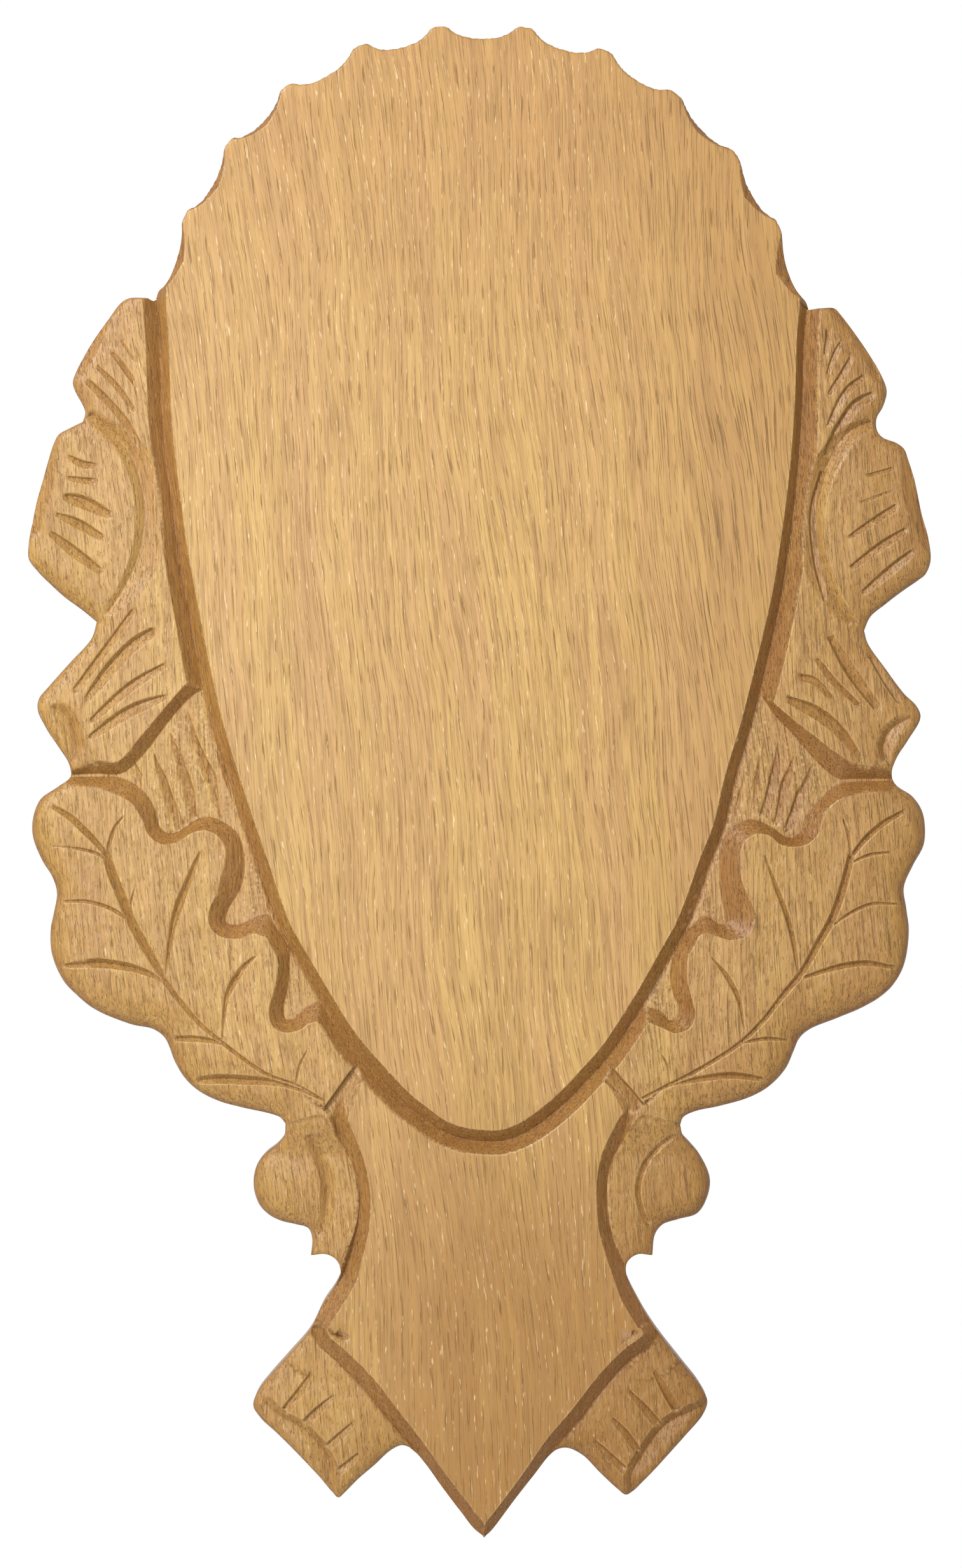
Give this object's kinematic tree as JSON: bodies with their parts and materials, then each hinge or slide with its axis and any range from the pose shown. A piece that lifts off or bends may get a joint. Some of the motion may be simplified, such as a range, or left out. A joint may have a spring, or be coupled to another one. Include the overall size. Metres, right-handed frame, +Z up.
{
  "type": "antler trophy plaque",
  "caption": "Carved oak wall plaque for a pair of antlers: a shield with a scalloped crown, framed by oak leaves and acorns and ending in a pointed tail.",
  "frame": {"origin": "on the back face, on the centre line, level with the centre of the crown's curve", "axes": "+Z up along the height, +X to the viewer's right, +Y out of the back into the wall; the carved front faces -Y"},
  "size_m": [0.3589, 0.025, 0.5997],
  "materials": {
    "oak": "satin lacquered oak, stained browner in the carving"
  },
  "bodies": {
    "root": {"oak_plaque": "oak"}
  },
  "joints": []
}
